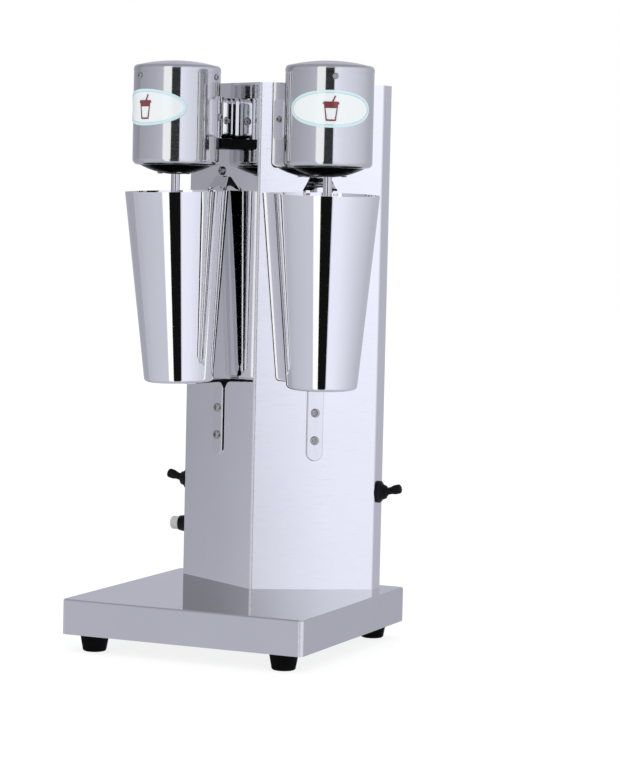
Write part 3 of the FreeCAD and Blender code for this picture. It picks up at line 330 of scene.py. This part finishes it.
def clip_finish():
    """Polished clip with painted shade, a dull black patch, on the side of its leaf that faces the column.
    """
    g = material("clip_steel")
    lines = g.noise(scale=1.0, detail=2.0, roughness=0.6, stretch=UPRIGHT)
    skin = g.noise(scale=1500.0, detail=3.0, roughness=0.6)
    xyz = g.node("ShaderNodeSeparateXYZ", {0: g.place()}).outputs
    across = g.math("MULTIPLY", g.math("ABSOLUTE", xyz[0]), math.sin(FACE_TURN))
    ahead = g.math("MULTIPLY", g.math("SUBTRACT", xyz[1], COLUMN_EDGE_Y), math.cos(FACE_TURN))
    out = g.math("SUBTRACT", across, ahead)
    leaf_middle = g.span(xyz[2], LEAF_TOP, LEAF_FOOT, *LEAF_OUT)
    # coat is the mask of the painted shade: the side of the leaf near the column face, below LEAF_TOP
    coat = g.math("LESS_THAN", out, leaf_middle)
    coat = g.math("MULTIPLY", coat, g.math("LESS_THAN", xyz[2], LEAF_TOP))
    tone = g.mix(g.span(lines, *CLOUD), *[rgba(level) for level in CLIP_TONES])
    gloss = g.math("ADD", CLIP_ROUGH, g.span(lines, *SCRATCH, 0.0, CLIP_HAZE))
    # black is the tone of the painted shade
    black = g.mix(skin, *[rgba(level) for level in PAINTED_SHADE_TONES])
    grain = g.bump(skin, strength=g.math("MULTIPLY", coat, PAINTED_SHADE_GRAIN), distance=PAINTED_SHADE_DEPTH)
    output(g, {"Base Color": g.mix(coat, tone, black), "Metallic": g.math("SUBTRACT", 1.0, coat),
               "Roughness": g.math("MAXIMUM", gloss, g.math("MULTIPLY", coat, PAINTED_SHADE_ROUGH)),
               "Specular IOR Level": 0.2, "Normal": grain})


def metal(name, colour, rough, spread, grain_scale, depth, stretch=(1, 1, 1), dark=0.8):
    """Plain metal with a fine grain in its tone, roughness and surface."""
    g = material(name)
    grain = g.noise(grain_scale, detail=4.0, roughness=0.6, stretch=stretch)
    cloud = g.noise(grain_scale * METAL_CLOUDS, detail=3.0, roughness=0.5)
    tone = g.mix(g.span(cloud, *CLOUD), rgba(shade(colour, dark)), rgba(colour))
    output(g, {"Base Color": tone, "Metallic": 1.0,
               "Roughness": g.span(grain, *GRAIN, rough, rough + spread),
               "Normal": g.bump(grain, strength=0.35, distance=depth)})


def moulded(name, colour, rough, spread, texture, depth, coat=0.0, dust=0.0, specular=0.5):
    """Moulded plastic or rubber: fine eroded texture, slight sheen changes, a little dust."""
    g = material(name)
    skin = g.noise(texture, detail=3.0, roughness=0.6)
    cloud = g.noise(texture * MOULDED_CLOUDS, detail=4.0, roughness=0.6)
    tone = g.mix(g.span(cloud, *DUST), rgba(colour), rgba(tuple(c + dust for c in colour)))
    output(g, {"Base Color": tone, "Roughness": g.span(skin, *CLOUD, rough, rough + spread),
               "Normal": g.bump(skin, strength=0.4, distance=depth), "Coat Weight": coat,
               "Coat Roughness": 0.08, "Specular IOR Level": specular})


def fuse_glass():
    """Slightly hazy clear glass."""
    g = material("fuse_glass")
    haze = g.noise(scale=900.0, detail=2.0)
    output(g, {"Base Color": g.mix(haze, rgba((0.84, 0.88, 0.88)), rgba((0.92, 0.95, 0.95))),
               "Roughness": g.span(haze, *CLOUD, 0.02, 0.07), "Transmission Weight": 0.8,
               "IOR": 1.5})


def make_materials():
    polished("polished_steel", (0.90, 0.90, 0.905), 0.03, 0.10, ROLLED, 0.00010)
    # column steel: its front fold is rougher and carries a painted highlight
    polished("column_steel", (0.90, 0.90, 0.905), 0.03, 0.10, ROLLED, 0.00010,
             edge_dulling_and_highlight=lambda g: upright_fold(g, FOLD_HALF_WIDTH))
    # base steel: its upright corners are rougher and carry a painted highlight
    corner_x, corner_y = [side - CORNER_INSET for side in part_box("base_cover")[1][:2]]
    polished("base_steel", (0.75, 0.75, 0.755), 0.03, 0.10, LENGTHWISE, 0.00008,
             edge_dulling_and_highlight=lambda g: upright_corners(g, corner_x, corner_y))
    polished("head_steel", (0.75, 0.75, 0.755), 0.05, 0.20, TURNED, 0.00003, film=0.045)
    polished("cup_steel", (0.95, 0.95, 0.955), 0.03, 0.08, TURNED, 0.00003)
    polished("strip_steel", (0.86, 0.86, 0.865), 0.05, 0.12, UPRIGHT, 0.00003)
    polished("plated_casting", (0.88, 0.88, 0.89), 0.04, 0.08, (900, 900, 900), 0.00010)
    polished("spindle_steel", (0.66, 0.66, 0.67), 0.14, 0.20, TURNED, 0.00001)
    metal("agitator_steel", (0.66, 0.66, 0.68), 0.16, 0.14, 1400.0, 0.00002)
    metal("zinc_steel", (0.62, 0.62, 0.60), 0.22, 0.18, 1200.0, 0.00003)
    metal("laminated_steel", (0.30, 0.30, 0.31), 0.38, 0.20, 900.0, 0.00010, stretch=(0.05, 0.05, 2.0))
    metal("cast_aluminium", (0.70, 0.71, 0.72), 0.42, 0.22, 700.0, 0.00012)
    metal("brass", (0.78, 0.60, 0.28), 0.20, 0.16, 1100.0, 0.00003, dark=0.85)
    metal("copper", (0.70, 0.32, 0.16), 0.28, 0.18, 620.0, 0.00020, stretch=(1.0, 1.0, 2.4), dark=0.7)
    moulded("foot_rubber", (0.001, 0.001, 0.001), 0.55, 0.20, 1800.0, 0.00004, dust=0.002, specular=0.06)
    moulded("boot_rubber", (0.003, 0.003, 0.004), 0.34, 0.16, 2200.0, 0.00002, dust=0.002, specular=0.16)
    moulded("black_plastic", (0.002, 0.002, 0.003), 0.24, 0.12, 2600.0, 0.00001, dust=0.002, specular=0.18)
    moulded("cream_plastic", (0.78, 0.75, 0.66), 0.38, 0.14, 1600.0, 0.00002)
    moulded("loom_plastic", (0.05, 0.05, 0.055), 0.45, 0.15, 1400.0, 0.00006, dust=0.01)
    moulded("frosted_cap", (0.56, 0.56, 0.555), 0.42, 0.14, 1500.0, 0.00003, dust=0.03)
    moulded("carbon", (0.02, 0.02, 0.022), 0.55, 0.20, 1300.0, 0.00004, dust=0.01)
    moulded("badge_white", (0.86, 0.90, 0.91), 0.16, 0.06, 900.0, 0.00001, coat=0.4)
    moulded("badge_aqua", (0.60, 0.82, 0.84), 0.18, 0.06, 900.0, 0.00001, coat=0.4, dust=0.05)
    moulded("badge_print", (0.20, 0.035, 0.04), 0.20, 0.08, 900.0, 0.00001, coat=0.4, dust=0.02)
    clip_finish()
    fuse_glass()


# nodes whose finish differs from the rest of their slot
OWN_FINISH = {"base_cover": "base_steel", "column_shell": "column_steel",
              "cup_clip_left": "clip_steel", "cup_clip_right": "clip_steel"}


def dress():
    for name, node in NODES.items():
        for slot in node.material_slots:
            slot.material = LIBRARY[OWN_FINISH.get(name, slot.material.name.split(".")[0])]


def keep_base_out_of_mirrors():
    """Hides the base and the pieces inside it from reflections, so that steel shows the studio."""
    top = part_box("base_cover")[1][2] + BASE_MARGIN
    for name, node in NODES.items():
        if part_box(name)[1][2] < top:
            node.visible_glossy = False


make_materials()
dress()
keep_base_out_of_mirrors()
make_world()
make_floor()
make_camera()

bpy.context.scene.view_settings.view_transform = "Standard"
